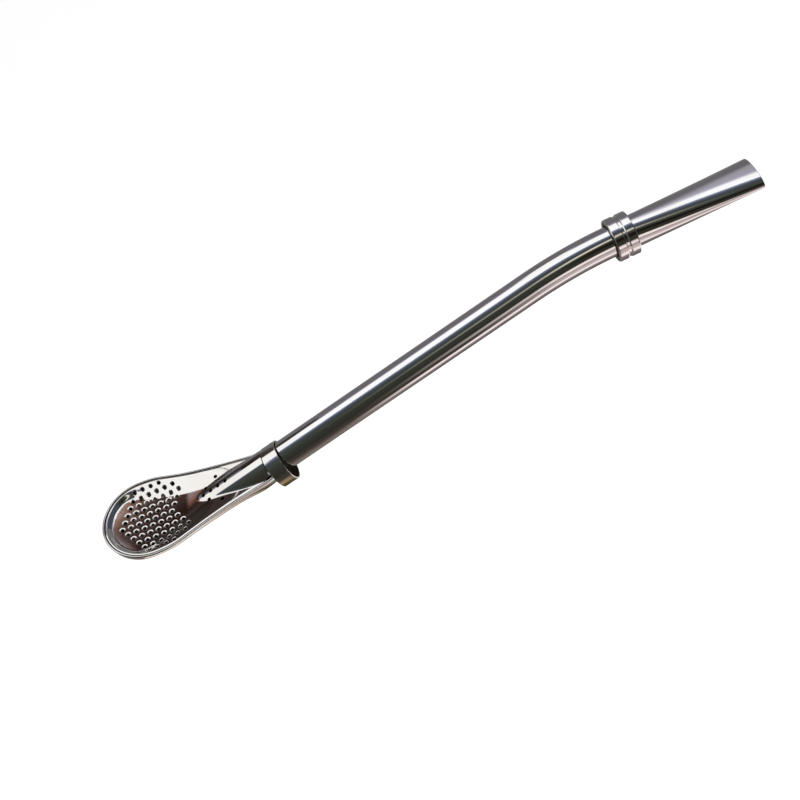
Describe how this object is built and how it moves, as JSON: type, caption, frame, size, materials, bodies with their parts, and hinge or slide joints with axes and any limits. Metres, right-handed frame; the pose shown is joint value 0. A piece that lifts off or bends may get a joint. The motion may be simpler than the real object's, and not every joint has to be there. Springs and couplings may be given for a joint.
{
  "type": "mate drinking straw with spoon filter",
  "caption": "Bent metal drinking straw with a flattened mouthpiece, a grooved collar, a loose neck ring and a perforated spoon-shaped filter that opens.",
  "frame": {"origin": "centre of the bounding box in plan, on the level of the lowest point, which is the lip of the mouthpiece", "axes": "+X runs along the stem's straight stretch towards the mouthpiece, +Z is the side that the strainer faces, +Y follows the right-hand rule"},
  "size_m": [0.1886, 0.0248, 0.0281],
  "materials": {
    "stem_metal": "mirror-polished, bare metal",
    "fitting_metal": "mirror-polished, bare metal",
    "filter_metal": "polished, bare metal",
    "strainer_metal": "polished pressed sheet with punched holes"
  },
  "bodies": {
    "stem": {"stem_tube": "stem_metal", "mouthpiece": "stem_metal", "mouth_collar": "fitting_metal", "rear_bowl": "filter_metal"},
    "ring": {"neck_ring": "fitting_metal"},
    "strainer": {"front_strainer": "strainer_metal"}
  },
  "joints": [
    {"name": "ring_slide", "type": "slide", "parent": "stem", "child": "ring", "axis": [1, 0, 0], "range_m": [0, 0.094]},
    {"name": "strainer_swing", "type": "hinge", "parent": "stem", "child": "strainer", "pos_m": [-0.09307, 0, 0.02739], "axis": [0, -1, 0], "range_deg": [0, 30]}
  ]
}
